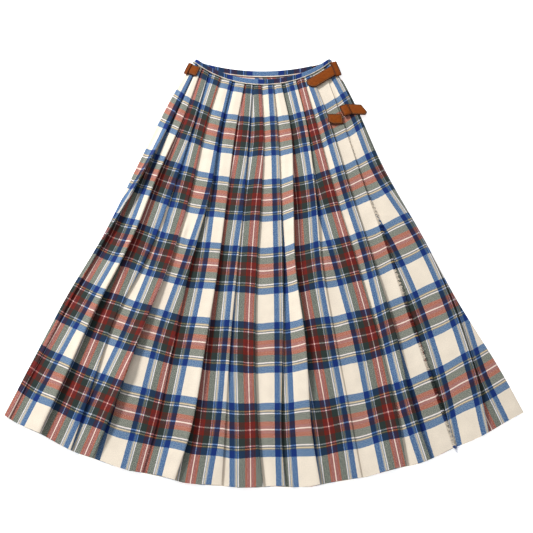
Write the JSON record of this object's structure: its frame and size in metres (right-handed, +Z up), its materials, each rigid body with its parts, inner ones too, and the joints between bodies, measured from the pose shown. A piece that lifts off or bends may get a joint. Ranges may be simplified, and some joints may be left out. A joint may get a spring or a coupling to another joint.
{
  "type": "pleated wrap skirt",
  "caption": "Long pleated wrap skirt in a traditional check, laid flat, with a fringed apron edge and leather straps at waist and hip.",
  "frame": {"origin": "middle of the skirt's outline, on the surface it lies on", "axes": "+Z up out of the surface, +Y from the hem to the waist, +X to the viewer's right as the front is seen"},
  "size_m": [0.9636, 0.955, 0.0195],
  "materials": {
    "check_cloth": "woven wool check",
    "band_cloth": "woven wool, blue with a pale edge",
    "fringe_yarn": "loose wool yarn",
    "tan_leather": "smooth tan leather"
  },
  "bodies": {
    "root": {"back_panel": "check_cloth", "back_waistband": "band_cloth", "under_apron": "check_cloth", "over_apron": "check_cloth", "front_waistband": "band_cloth", "apron_fringe": "fringe_yarn", "left_strap": "tan_leather", "left_keeper": "tan_leather", "right_strap": "tan_leather", "right_buckle": "tan_leather", "hip_tab": "tan_leather", "hip_buckle": "tan_leather", "hip_strap_end": "tan_leather"}
  },
  "joints": []
}
